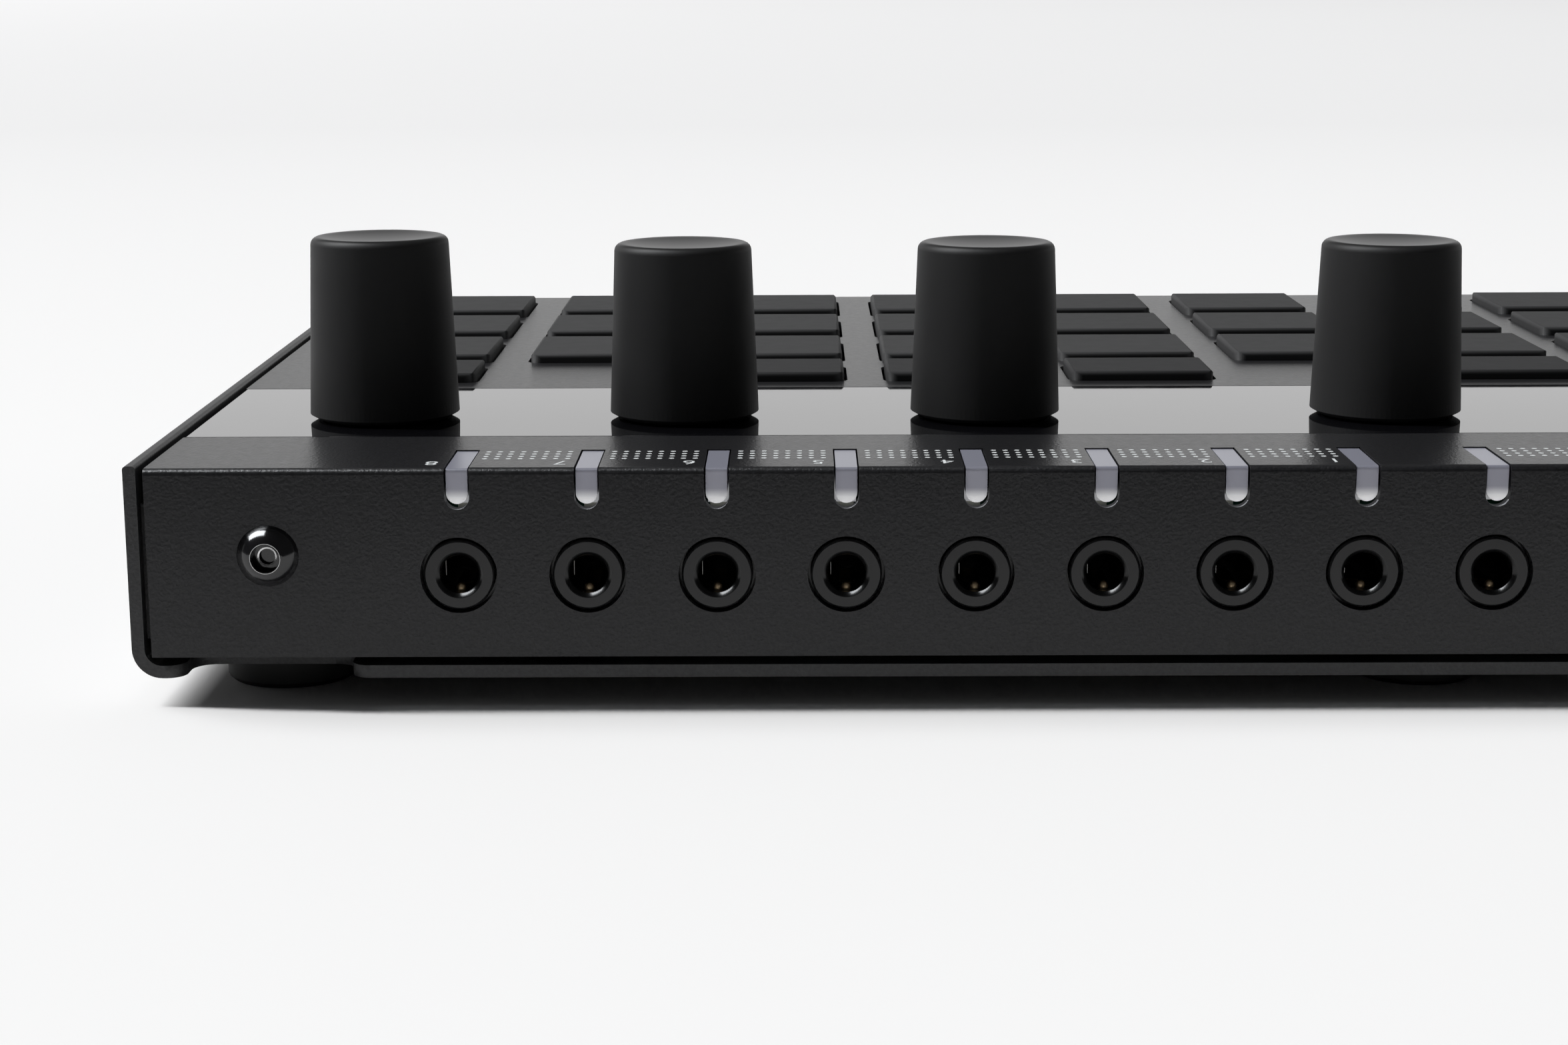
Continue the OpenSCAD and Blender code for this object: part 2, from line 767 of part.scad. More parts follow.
// D-shaped rod for a shaft's upper end and the knob that grips it
module d_rod(z0, z1, clear) {
    r = shaft_d / 2 + clear;
    difference() {
        translate([0, 0, z0])
            cylinder(h = z1 - z0, r = r);
        translate([-r, shaft_d / 2 - shaft_flat + clear, z0 - eps])
            cube([2 * r, r, z1 - z0 + 2 * eps]);
    }
}

module encoder_shaft(i) {
    color("#a7a9ac")
        translate([knob_x(knob_steps[i]), knob_y, 0]) {
            low = main_board_top + shaft_seat + shaft_end_gap;
            translate([0, 0, low])
                cylinder(h = cavity_top - low, d = shaft_d);
            d_rod(cavity_top - eps, shaft_top, 0);
        }
}

// Knob with a straight taper, a rounded top edge, a shallow dish and a hollow for the nut
module knob(i) {
    h = knob_h + (i == 0 ? first_knob_extra : 0);
    edge = min(0.5, (knob_d / 2 - cavity_r) / 2);
    lean = atan((knob_d - knob_top_d) / 2 / h);
    dish_r = knob_top_d / 2 - knob_edge_r;
    dish_sphere = (dish_r * dish_r + knob_dish * knob_dish) / (2 * knob_dish);
    dish_half = asin(dish_r / dish_sphere);
    outline = concat(
        [[cavity_r, 0], [knob_d / 2 - edge, 0], [knob_d / 2, edge]],
        arc(dish_r, h - knob_edge_r, knob_edge_r, lean, 90, 5),
        arc(0, h - knob_dish + dish_sphere, dish_sphere, dish_half - 90, -90, 5),
        [[0, cavity_top - knob_z], [cavity_r, cavity_top - knob_z]]);
    color("#1a1a1c")
        translate([knob_x(knob_steps[i]), knob_y, 0])
            difference() {
                translate([0, 0, knob_z])
                    rotate_extrude($fn = 96)
                        polygon(outline);
                d_rod(cavity_top - eps, shaft_top + grip_clear, grip_clear);
            }
}

// Side view of a key top: a rectangle whose upper corners are rounded
module key_side(w, h) {
    difference() {
        translate([-w / 2, 0])
            square([w, h]);
        for (s = [-1, 1])
            translate([s * (w / 2 - pad_edge_r), h - pad_edge_r])
                mirror([s > 0 ? 0 : 1, 0])
                    spandrel(pad_edge_r);
    }
}

// Key top from the web up: round upright corners and a rounded upper edge
module key_top(depth) {
    h = pad_top - web_z;
    intersection() {
        linear_extrude(h)
            rounded_rect(pad_w, depth, pad_r);
        translate([-pad_w / 2, 0, 0])
            rotate([90, 0, 90])
                linear_extrude(pad_w)
                    key_side(depth, h);
        translate([0, depth / 2, 0])
            rotate([90, 0, 0])
                linear_extrude(depth)
                    key_side(pad_w, h);
    }
}

// Web with its key tops through the panel and a plunger under each
module sprung_keys(x, y_mid, web_depth, key_depth, key_ys) {
    translate([x, y_mid, web_z])
        linear_extrude(web_t)
            rounded_rect(web_w, web_depth, web_r);
    for (y = key_ys)
        translate([x, y, web_z]) {
            key_top(key_depth);
            translate([0, 0, plunger_z - web_z])
                cylinder(h = web_top - plunger_z, d = plunger_d);
        }
}

module pad_strip(c) {
    color("#3a3b3e")
        sprung_keys(column_x(c), pad_mid_y, web_l, pad_w, [for (row = [0 : pad_rows - 1]) pad_y(row)]);
}

module function_key(c) {
    color("#303134")
        sprung_keys(column_x(c), key_y, key_d + 2 * web_edge, key_d, [key_y]);
}

module dome_sheet() {
    spread = (pad_columns - 1) * pad_pitch / 2 + pad_w / 2;
    color("#5b5d60") {
        translate([-spread, dome_sheet_front, main_board_top])
            cube([2 * spread, dome_sheet_rear - dome_sheet_front, dome_sheet_t]);
        for (c = [1 : pad_columns], row = [0 : pad_rows - 1])
            dome(column_x(c), pad_y(row));
        for (c = key_columns)
            dome(column_x(c), key_y);
    }
}

module dome(x, y) {
    translate([x, y, main_board_top])
        cylinder(h = dome_sheet_t + dome_h, d = dome_d);
}

module board_connector() {
    color("#101012")
        translate([-connector_w / 2, connector_y - connector_d / 2, jack_board_top])
            cube([connector_w, connector_d, main_board_low - jack_board_top]);
}

// Mouth of the USB socket, grown by gap
module usb_outline(gap) {
    w = usb_w + 2 * gap;
    h = usb_h + 2 * gap;
    rounded_rect(w, h, h / 2 - eps);
}

module usb_socket() {
    mouth_y = rear_y - usb_sink;
    color("#9a9ca0")
        translate([usb_x, mouth_y, usb_z])
            rotate([90, 0, 0]) {
                difference() {
                    linear_extrude(usb_l)
                        usb_outline(0);
                    translate([0, 0, -eps])
                        linear_extrude(usb_l - usb_back + eps)
                            usb_outline(-usb_wall);
                }
                translate([0, 0, usb_l - usb_back - usb_tongue_l])
                    linear_extrude(usb_tongue_l + eps)
                        square([usb_tongue_w, usb_tongue_t], center = true);
            }
}

module power_switch_body() {
    color("#121214")
        difference() {
            translate([switch_x - switch_w / 2, switch_front - switch_d, jack_board_top])
                cube([switch_w, switch_d, switch_h]);
            translate([switch_x, switch_front + eps, switch_z])
                rotate([90, 0, 0])
                    linear_extrude(lever_in + lever_clear + eps)
                        square([lever_w + lever_travel + 2 * lever_clear, lever_h + 2 * lever_clear],
                            center = true);
        }
}

module switch_lever() {
    color("#1f2022")
        translate([switch_x - (lever_travel + lever_w) / 2, switch_front - lever_in, switch_z - lever_h / 2])
            cube([lever_w, lever_in + socket_gap + sheet + lever_out, lever_h]);
}

module standoffs() {
    color("#b9bbbe") {
        for (p = post_places)
            post(p, main_board_low - plate_top);
        for (p = jack_post_places)
            post(p, jack_board_top - board_t - plate_top);
    }
}

// Round post on the bottom plate, threaded from below
module post(p, h) {
    translate([p[0], p[1], plate_top])
        difference() {
            cylinder(h = h, d = post_d);
            translate([0, 0, -eps])
                cylinder(h = post_share * h + screw_end_gap + eps, d = thread_hole);
        }
}

// Button-head screw on the Z axis: the head's seat is z = 0 and the thread runs down
module button_screw() {
    crown = (head_d * head_d / 4 + head_h * head_h) / (2 * head_h);
    rim = asin(head_d / 2 / crown);
    difference() {
        union() {
            rotate_extrude()
                polygon(concat([[0, 0]], arc(0, head_h - crown, crown, 90 - rim, 90, 6)));
            translate([0, 0, -screw_l])
                cylinder(h = screw_l + eps, d = thread_d);
        }
        translate([0, 0, head_h - lobe_deep])
            linear_extrude(lobe_deep + eps)
                six_lobe();
        translate([0, 0, head_h - lobe_deep - pilot_deep])
            cylinder(h = pilot_deep + eps, d = pilot_d);
    }
}

// Plan of the screws' recess: a circle with six round lobes
module six_lobe() {
    lobe_x = lobe_d / 2 - lobe_r;
    circle(d = lobe_root_d);
    for (i = [0 : 5])
        rotate(60 * i)
            translate([lobe_x, 0])
                circle(lobe_r);
}

module case_screws() {
    color("#0d0d0e")
        for (s = [-1, 1], t = [0, 1])
            mirror([0, t, 0])
                translate([s * screw_x, rear_y, screw_z])
                    rotate([-90, 0, 0])
                        button_screw();
}

module bottom_screws() {
    color("#0d0d0e") {
        for (p = post_places)
            bottom_screw(p, main_board_low - plate_top);
        for (p = jack_post_places)
            bottom_screw(p, jack_board_top - board_t - plate_top);
    }
}

// Screw under the bottom plate for a post of height h
module bottom_screw(p, h) {
    translate([p[0], p[1], plate_z - bottom_head_h]) {
        cylinder(h = bottom_head_h, d = bottom_head_d);
        cylinder(h = bottom_head_h + sheet + post_share * h, d = thread_d);
    }
}

module rubber_feet() {
    color("#19191a")
        for (p = foot_places)
            translate([p[0], p[1], 0])
                rotate_extrude()
                    polygon([[0, 0], [foot_d / 2 - foot_chamfer, 0], [foot_d / 2, foot_chamfer],
                        [foot_d / 2, foot_h], [0, foot_h]]);
}

bottom_tray();
rear_panel();
pad_panel();
control_strip();
display_module();
main_board();
jack_board();
led_board();
jack_sockets();
jack_contacts();
light_guides();
status_leds();
encoder_bodies();
encoder_nuts();
dome_sheet();
board_connector();
usb_socket();
power_switch_body();
standoffs();
case_screws();
bottom_screws();
rubber_feet();
switch_lever();
for (i = [0 : len(knob_steps) - 1]) {
    knob(i);
    encoder_shaft(i);
}
for (i = [0 : len(key_columns) - 1])
    function_key(key_columns[i]);
for (c = [1 : pad_columns])
    pad_strip(c);
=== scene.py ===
"""Looks of the desktop step sequencer: materials, printed marks, small trim, camera and light."""

import json
import math

import bpy
from mathutils import Matrix, Vector


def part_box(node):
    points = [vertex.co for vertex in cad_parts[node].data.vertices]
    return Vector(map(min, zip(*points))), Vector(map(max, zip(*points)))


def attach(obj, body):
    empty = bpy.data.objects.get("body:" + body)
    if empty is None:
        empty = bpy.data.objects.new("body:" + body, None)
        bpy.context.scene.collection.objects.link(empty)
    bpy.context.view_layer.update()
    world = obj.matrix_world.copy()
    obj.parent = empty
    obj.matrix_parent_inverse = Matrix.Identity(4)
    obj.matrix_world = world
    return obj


MM = 0.001

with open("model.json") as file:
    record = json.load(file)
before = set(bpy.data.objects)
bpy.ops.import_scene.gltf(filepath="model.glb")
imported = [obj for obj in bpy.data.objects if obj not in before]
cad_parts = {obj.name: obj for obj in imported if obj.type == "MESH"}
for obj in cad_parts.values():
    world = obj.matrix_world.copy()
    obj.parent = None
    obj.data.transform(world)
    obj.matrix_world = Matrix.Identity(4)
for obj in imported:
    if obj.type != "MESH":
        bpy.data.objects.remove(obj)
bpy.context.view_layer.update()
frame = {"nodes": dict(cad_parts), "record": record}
nodes = frame["nodes"]
scene = bpy.context.scene

# Places that the frame gives
rear_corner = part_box("rear_panel")[1]
top_z = rear_corner.z
rear_y = rear_corner.y
mounts = frame["record"]["mounts"]
jack_places = [Vector(mount["pos_m"]) for mount in mounts if mount["kind"] == "bore"]
jack_centres = [Vector((place.x, rear_y, place.z)) for place in jack_places]
jack_pitch = jack_places[0].x - jack_places[1].x
knob_count = sum(name.startswith("knob_") for name in nodes)
screw_low, screw_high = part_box("case_screws")
screw_head_radius = 2.9 * MM
screw_x = screw_high.x - screw_head_radius
screw_z = (screw_low.z + screw_high.z) / 2


# Node helpers
class Nodes:
    """Short ways to make nodes in one tree and to wire them."""

    def __init__(self, tree):
        self.tree = tree

    def node(self, kind, **inputs):
        made = self.tree.nodes.new(kind)
        for name, value in inputs.items():
            made.inputs[name.replace("_", " ")].default_value = value
        return made

    def link(self, source, target):
        self.tree.links.new(source, target)

    def ramp(self, value, low, high, from_min=0.0, from_max=1.0, smooth=False):
        """low to high as value goes from from_min to from_max, and level beyond."""
        made = self.node("ShaderNodeMapRange", From_Min=from_min, From_Max=from_max, To_Min=low, To_Max=high)
        if smooth:
            made.interpolation_type = "SMOOTHSTEP"
        self.link(value, made.inputs["Value"])
        return made.outputs["Result"]

    def part_of(self, vector, axis):
        split = self.node("ShaderNodeSeparateXYZ")
        self.link(vector, split.inputs["Vector"])
        return split.outputs[axis]

    def math(self, operation, *values):
        made = self.node("ShaderNodeMath")
        made.operation = operation
        for socket, value in zip(made.inputs, values):
            if isinstance(value, float):
                socket.default_value = value
            else:
                self.link(value, socket)
        return made.outputs["Value"]


class Shader(Nodes):
    """A material with one Principled shader."""

    hole_edge_mm = 0.03

    def __init__(self, name, color, roughness, specular=0.5, metallic=0.0):
        self.material = bpy.data.materials.new(name)
        self.material.use_nodes = True
        super().__init__(self.material.node_tree)
        self.bsdf = self.tree.nodes["Principled BSDF"]
        self.set("Base Color", (*color, 1.0))
        self.set("Roughness", roughness)
        self.set("Specular IOR Level", specular)
        self.set("Metallic", metallic)

    def set(self, socket, value):
        self.bsdf.inputs[socket].default_value = value

    def drive(self, socket, source):
        self.link(source, self.bsdf.inputs[socket])

    def place(self):
        return self.node("ShaderNodeTexCoord").outputs["Object"]

    def axis(self, name):
        return self.part_of(self.place(), name)

    def noise(self, size_mm, detail=2.0, stretch=(1, 1, 1)):
        """Noise whose lumps are about size_mm wide."""
        mapping = self.node("ShaderNodeMapping")
        mapping.inputs["Scale"].default_value = [s / (size_mm * MM) for s in stretch]
        self.link(self.place(), mapping.inputs["Vector"])
        made = self.node("ShaderNodeTexNoise", Scale=1.0, Detail=detail)
        self.link(mapping.outputs["Vector"], made.inputs["Vector"])
        return made.outputs["Fac"]

    def inside(self, x, z, pitch, radius_mm):
        """Mask for the painted shade down round holes: 1 near axes along Y that stand pitch apart, one of
        them at x and z, 0 beyond the radius.
        """
        across = self.math("WRAP", self.math("SUBTRACT", self.axis("X"), x), pitch / 2, -pitch / 2)
        up = self.math("SUBTRACT", self.axis("Z"), z)
        squares = [self.math("POWER", side, 2.0) for side in (across, up)]
        reach = self.math("SQRT", self.math("ADD", *squares))
        return self.ramp(reach, 1.0, 0.0, (radius_mm - self.hole_edge_mm) * MM, radius_mm * MM)

    def bump(self, height, depth_mm, strength):
        made = self.node("ShaderNodeBump", Strength=strength, Distance=depth_mm * MM)
        self.link(height, made.inputs["Height"])
        self.drive("Normal", made.outputs["Normal"])

    def uneven_gloss(self, roughness, spread, size_mm, stretch=(1, 1, 1)):
        """Roughness that wanders by spread to either side, in lumps about size_mm wide."""
        lumps = self.noise(size_mm, stretch=stretch)
        self.drive("Roughness", self.ramp(lumps, roughness - spread, roughness + spread))

    def mix(self, value, low, high):
        """Colour that goes from low to high as value goes from 0 to 1."""
        mix = self.node("ShaderNodeMix")
        mix.data_type = "RGBA"
        ends = [s for s in mix.inputs if s.type == "RGBA"]
        for socket, color in zip(ends, (low, high)):
            if isinstance(color, tuple):
                socket.default_value = (*color, 1.0)
            else:
                self.link(color, socket)
        self.link(value, mix.inputs["Factor"])
        return [s for s in mix.outputs if s.type == "RGBA"][0]


def scaled(color, share):
    return tuple(c * share for c in color)


# Materials
def powder_coat(name, color, roughness, specular):
    """Paint whose fine grain shows in its colour and its gloss."""
    made = Shader(name, color, roughness, specular)
    grain = made.noise(size_mm=0.3, detail=3.0)
    made.bump(grain, depth_mm=0.05, strength=0.7)
    tone = made.ramp(grain, 0.0, 1.0, from_min=0.3, from_max=0.7)
    made.drive("Base Color", made.mix(tone, scaled(color, 0.7), scaled(color, 1.3)))
    made.uneven_gloss(roughness, spread=0.04, size_mm=0.9)
    return made.material


def satin(name, color, roughness, specular=0.5, grain_mm=0.25, grain_depth=0.006):
    made = Shader(name, color, roughness, specular)
    made.bump(made.noise(grain_mm), grain_depth, strength=0.4)
    made.uneven_gloss(roughness, spread=0.03, size_mm=3.0)
    return made.material


def metal(name, color, roughness, stretch=(1, 1, 1)):
    made = Shader(name, color, roughness, metallic=1.0)
    made.uneven_gloss(roughness, spread=0.06, size_mm=0.3, stretch=stretch)
    return made.material


def light_guide():
    """Milky acrylic with painted light: base colour whitest, with a painted glow, in the rounded lower end,
    where the light carried down the acrylic gathers, and painted duller on the top.
    """
    painted_glow_white, milky, painted_dull_top = (0.97, 0.97, 0.97), (0.4, 0.4, 0.47), (0.23, 0.235, 0.285)
    white_up_to, milky_from = top_z - 3.0 * MM, top_z - 2.0 * MM
    milky_up_to, dull_from = top_z - 0.55 * MM, top_z - 0.15 * MM
    glow_from, glow_up_to = top_z - 3.4 * MM, top_z - 2.2 * MM
    painted_glow = 0.26
    made = Shader("guide_acrylic", (0.4, 0.4, 0.46), 0.3, 0.4)
    height = made.axis("Z")
    # Painted light: base colour from white at the lower end to dull on the top, and a painted glow that
    # fades up from the lower end.
    leg = made.mix(made.ramp(height, 0.0, 1.0, white_up_to, milky_from), painted_glow_white, milky)
    made.drive("Base Color", made.mix(made.ramp(height, 0.0, 1.0, milky_up_to, dull_from), leg, painted_dull_top))
    made.set("Emission Color", (0.96, 0.97, 1.0, 1.0))
    made.drive("Emission Strength", made.ramp(height, painted_glow, 0.0, glow_from, glow_up_to))
    return made.material


def silicone(name, color, specular):
    roughness = 0.7
    made = Shader(name, color, roughness, specular)
    made.bump(made.noise(size_mm=0.3), depth_mm=0.012, strength=0.4)
    made.uneven_gloss(roughness, spread=0.05, size_mm=2.0)
    return made.material


def soft_touch(name, color, specular, roughness, top_roughness):
    """Soft rubbery lacquer that fingers have polished where it faces up."""
    made = Shader(name, color, roughness, specular)
    made.bump(made.noise(size_mm=0.3), depth_mm=0.012, strength=0.4)
    upward = made.part_of(made.node("ShaderNodeNewGeometry").outputs["Normal"], "Z")
    made.drive("Roughness", made.ramp(upward, roughness, top_roughness, from_min=0.6, from_max=0.95))
    return made.material


def holed(name, color, roughness, specular, holes):
    """Smooth black stock with painted shade: base colour darker down the round holes."""
    made = Shader(name, color, roughness, specular)
    inside = made.inside(*holes)
    made.bump(made.noise(size_mm=0.3), depth_mm=0.003, strength=0.4)
    # Painted shade: the base colour drops to a quarter of itself down the holes.
    made.drive("Base Color", made.mix(inside, color, scaled(color, 0.25)))
    return made.material


def laminate():
    made = Shader("board_laminate", (0.012, 0.07, 0.04), 0.35)
    made.drive("Base Color", made.mix(made.noise(size_mm=4.0), (0.010, 0.055, 0.032), (0.015, 0.085, 0.05)))
    return made.material


# Radii in millimetres within which the jacks and the screws get painted shade, a darker base colour down
# their holes
jack_hole_radius = 2.14
screw_hole_radius = 1.38
jack_holes = (jack_places[0].x, jack_places[0].z, jack_pitch, jack_hole_radius)
screw_holes = (screw_x, screw_z, 2 * screw_x, screw_hole_radius)

materials = {
    "panel_paint": powder_coat("panel_paint", (0.0125, 0.0125, 0.014), 0.32, 0.35),
    "tray_paint": powder_coat("tray_paint", (0.024, 0.024, 0.025), 0.45, 0.45),
    "strip_acrylic": satin("strip_acrylic", (0.004, 0.004, 0.005), 0.05, 0.5, 6.0, 0.002),
    "display_glass": satin("display_glass", (0.006, 0.007, 0.01), 0.08, 0.5, 6.0, 0.002),
    "board_laminate": laminate(),
    "jack_plastic": holed("jack_plastic", (0.011, 0.011, 0.0115), 0.2, 0.36, jack_holes),
    "contact_bronze": metal("contact_bronze", (0.95, 0.72, 0.45), 0.4),
    "guide_acrylic": light_guide(),
    "led_lens": satin("led_lens", (0.8, 0.78, 0.7), 0.4),
    "plated_steel": metal("plated_steel", (0.66, 0.66, 0.66), 0.28, (1, 1, 6)),
    "black_steel": holed("black_steel", (0.008, 0.008, 0.009), 0.12, 0.6, screw_holes),
    "black_oxide": satin("black_oxide", (0.003, 0.003, 0.0033), 0.6, 0.12),
    "dome_rubber": silicone("dome_rubber", (0.1, 0.1, 0.1), 0.3),
    "switch_plastic": satin("switch_plastic", (0.012, 0.012, 0.013), 0.42),
    "foot_rubber": silicone("foot_rubber", (0.012, 0.012, 0.012), 0.3),
    "knob_soft_touch": soft_touch("knob_soft_touch", (0.016, 0.016, 0.0165), 0.13, 0.55, 0.34),
    "key_silicone": silicone("key_silicone", (0.013, 0.013, 0.014), 0.17),
    "pad_silicone": silicone("pad_silicone", (0.021, 0.021, 0.022), 0.23),
}
print_ink = satin("print_ink", (0.7, 0.73, 0.74), 0.6, 0.3, 0.3, 0.004)
cut_edge = metal("cut_edge", (0.16, 0.16, 0.165), 0.6)

# Edge radii in millimetres that Blender adds to the CAD nodes
edges = {
    "bottom_tray": 0.12,
    "rear_panel": 0.1,
    "pad_panel": 0.1,
    "control_strip": 0.08,
    "display_module": 0.1,
    "jack_sockets": 0.06,
    "light_guides": 0.08,
    "encoder_nuts": 0.15,
    "usb_socket": 0.06,
    "case_screws": 0.05,
    "rubber_feet": 0.15,
    "switch_lever": 0.2,
}
weld_reach = 0.002 * MM
knob_split_angle = math.radians(30)
bevel_angle = math.radians(35)


def finish_node(name, obj, slot):
    obj.data.materials.clear()
    obj.data.materials.append(materials[slot])
    weld = obj.modifiers.new("Weld", "WELD")
    weld.merge_threshold = weld_reach
    if name.startswith("knob"):
        split = obj.modifiers.new("EdgeSplit", "EDGE_SPLIT")
        split.split_angle = knob_split_angle
    radius = edges.get(name, 0.0)
    if radius:
        bevel = obj.modifiers.new("Bevel", "BEVEL")
        bevel.width = radius * MM
        bevel.segments = 2
        bevel.limit_method = "ANGLE"
        bevel.angle_limit = bevel_angle
        bevel.harden_normals = False
    normals = obj.modifiers.new("WeightedNormal", "WEIGHTED_NORMAL")
    normals.keep_sharp = True


for part in frame["record"]["subparts"]:
    finish_node(part["node"], nodes[part["node"]], part["material_slot"])


# Pieces that only the picture needs
def piece(name, verts, faces, material, smooth=False, body="chassis"):
    mesh = bpy.data.meshes.new(name)
    mesh.from_pydata(verts, [], faces)
    mesh.validate()
    mesh.update()
    obj = bpy.data.objects.new(name, mesh)
    scene.collection.objects.link(obj)
    mesh.materials.append(material)
    if smooth:
        mesh.polygons.foreach_set("use_smooth", [True] * len(mesh.polygons))
    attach(obj, body)
    return obj


def circle(radius, sides):
    """Points of a circle about the origin, as pairs."""
    angles = [2 * math.pi * k / sides for k in range(sides)]
    return [(radius * math.cos(a), radius * math.sin(a)) for a in angles]


def tube_faces(start, rings, around, closed):
    """Faces between rings of points that follow one another. A closed tube joins the last to the first."""
    faces = []
    for j in range(rings if closed else rings - 1):
        here, above = start + j * around, start + (j + 1) % rings * around
        for k in range(around):
            n = (k + 1) % around
            faces.append((here + k, here + n, above + n, above + k))
    return faces


def rod_faces(start, rings, around):
    """Faces of a rod with flat ends."""
    last = start + (rings - 1) * around
    ends = [tuple(reversed(range(start, start + around))), tuple(range(last, last + around))]
    return tube_faces(start, rings, around, closed=False) + ends


def turned(faces):
    return [face[::-1] for face in faces]


print_z = top_z + 0.012 * MM


def dots():
    """Small printed dots between the light guides, four rows of eight, with the eighth gap bare."""
    columns, rows, sides = 8, 4, 12
    radius = 0.26 * MM
    from_guide, column_step = 2.1 * MM, 7.8 / 7 * MM
    from_rear, row_step = 4.9 * MM, 1.22 * MM
    verts, faces = [], []
    for place in jack_places[:7] + jack_places[8:-1]:
        for column in range(columns):
            for row in range(rows):
                x = place.x - from_guide - column * column_step
                y = rear_y - from_rear - row * row_step
                start = len(verts)
                verts += [(x + across, y + along, print_z) for across, along in circle(radius, sides)]
                faces.append(tuple(range(start, start + sides)))
    return piece("printed_dots", verts, faces, print_ink)


def number(value, place):
    """Channel number beside a light guide, readable from the player's side."""
    height, from_guide, from_rear = 2.6 * MM, 2.6 * MM, 3.6 * MM
    text = bpy.data.curves.new("number", "FONT")
    text.body = str(value)
    text.size = height
    text.align_x = "CENTER"
    text.resolution_u = 4
    source = bpy.data.objects.new("number", text)
    scene.collection.objects.link(source)
    bpy.context.view_layer.update()
    mesh = bpy.data.meshes.new_from_object(source)
    bpy.data.objects.remove(source)
    obj = bpy.data.objects.new(f"printed_number_{value}", mesh)
    scene.collection.objects.link(obj)
    obj.location = (place.x + from_guide, rear_y - from_rear, print_z)
    mesh.materials.clear()
    mesh.materials.append(print_ink)
    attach(obj, "chassis")


def spring_tips():
    """Rounded tips of the jacks' lower springs, which reach into the bores near their mouths."""
    around, along = 16, 10
    half = Vector((0.48, 0.4, 0.55)) * MM
    offset = Vector((0.0, -1.7, -1.6)) * MM
    verts, faces = [], []
    for centre in jack_centres:
        start = len(verts)
        for j in range(along + 1):
            t = math.pi * j / along
            for across, up in circle(math.sin(t), around):
                verts.append(centre + offset + Vector((half.x * across, half.y * math.cos(t), half.z * up)))
        faces += tube_faces(start, along + 1, around, closed=False)
    return piece("spring_tips", verts, faces, materials["contact_bronze"], True)


def side_springs():
    """Thin upright edges of the jacks' side springs."""
    low = Vector((1.43, -2.5, -0.45)) * MM
    high = Vector((1.445, -2.1, 0.9)) * MM
    section = ((low.x, low.y), (high.x, low.y), (high.x, high.y), (low.x, high.y))
    verts, faces = [], []
    for centre in jack_centres:
        start = len(verts)
        for z in (low.z, high.z):
            verts += [centre + Vector((x, y, z)) for x, y in section]
        faces += rod_faces(start, 2, len(section))
    return piece("side_springs", verts, faces, materials["plated_steel"])


def recess_rings(name, depth, section):
    """Bare metal rings in the case screws' recesses, their centres depth below the recesses' rims.

    section lists radius and height of the ring's corners, in millimetres.
    """
    around = 48
    y = screw_high.y - depth * MM
    verts, faces = [], []
    for side in (-1, 1):
        for end in (-1, 1):
            start = len(verts)
            for radius, rise in section:
                for across, up in circle(radius * MM, around):
                    verts.append((side * screw_x + across, end * (y + rise * MM), screw_z + up))
            made = tube_faces(start, len(section), around, closed=True)
            faces += made if end > 0 else turned(made)
    return piece(name, verts, faces, materials["plated_steel"])


def slot_edges():
    """Cut edges of the sheet in the round lower ends of the light guides' slots."""
    steps = 20
    start_angle, end_angle = math.radians(205), math.radians(335)
    inner, outer = 1.125 * MM, 1.145 * MM
    front, back = rear_y - 0.02 * MM, rear_y - 1.15 * MM
    centre_z = top_z - 2.75 * MM
    section = ((inner, front), (outer, front), (outer, back), (inner, back))
    verts, faces = [], []
    for place in jack_places:
        start = len(verts)
        for k in range(steps + 1):
            a = start_angle + (end_angle - start_angle) * k / steps
            for radius, y in section:
                verts.append((place.x + radius * math.cos(a), y, centre_z + radius * math.sin(a)))
        faces += rod_faces(start, steps + 1, len(section))
    return piece("slot_edges", verts, faces, cut_edge, True)


def guide_tops():
    """Tops of the light guides, which bring them almost level with the panel."""
    steps = 5
    half_width = 1.0 * MM
    back, front = rear_y - 9.5 * MM, rear_y - 0.35 * MM
    top, low, foot = top_z - 0.1 * MM, top_z - 0.4 * MM, top_z - 0.65 * MM
    radius = 0.3 * MM
    outline = [(front - radius, foot), (front - radius, low), (back, low), (back, top)]
    for k in range(steps + 1):
        a = math.pi / 2 * (1 - k / steps)
        outline.append((front - radius + radius * math.cos(a), top - radius + radius * math.sin(a)))
    outline.append((front, foot))
    verts, faces = [], []
    for place in jack_places:
        start = len(verts)
        for x in (place.x - half_width, place.x + half_width):
            verts += [(x, y, z) for y, z in outline]
        faces += turned(rod_faces(start, 2, len(outline)))
    return piece("guide_tops", verts, faces, materials["guide_acrylic"])


def knob_skirt(index):
    """Lower rim of a knob, which ends just above the strip."""
    around = 96
    low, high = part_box(f"knob_{index}")
    middle = (low + high) / 2
    radius = (high.x - low.x) / 2
    strip_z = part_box("control_strip")[1].z
    lap, flare, chamfer, wall = 0.5 * MM, 0.04 * MM, 0.76 * MM, 0.5 * MM
    rim, bottom = strip_z + 0.62 * MM, strip_z + 0.16 * MM
    inner = 6.4 * MM
    section = (
        (radius, low.z + lap),
        (radius + flare, rim),
        (radius - chamfer, bottom),
        (inner, bottom),
        (inner, low.z),
        (radius - wall, low.z),
    )
    verts = []
    for r, z in section:
        verts += [(middle.x + across, middle.y + along, z) for across, along in circle(r, around)]
    faces = turned(tube_faces(0, len(section), around, closed=True))
    return piece(f"knob_skirt_{index}", verts, faces, materials["knob_soft_touch"],
                 body=f"encoder_{index}")


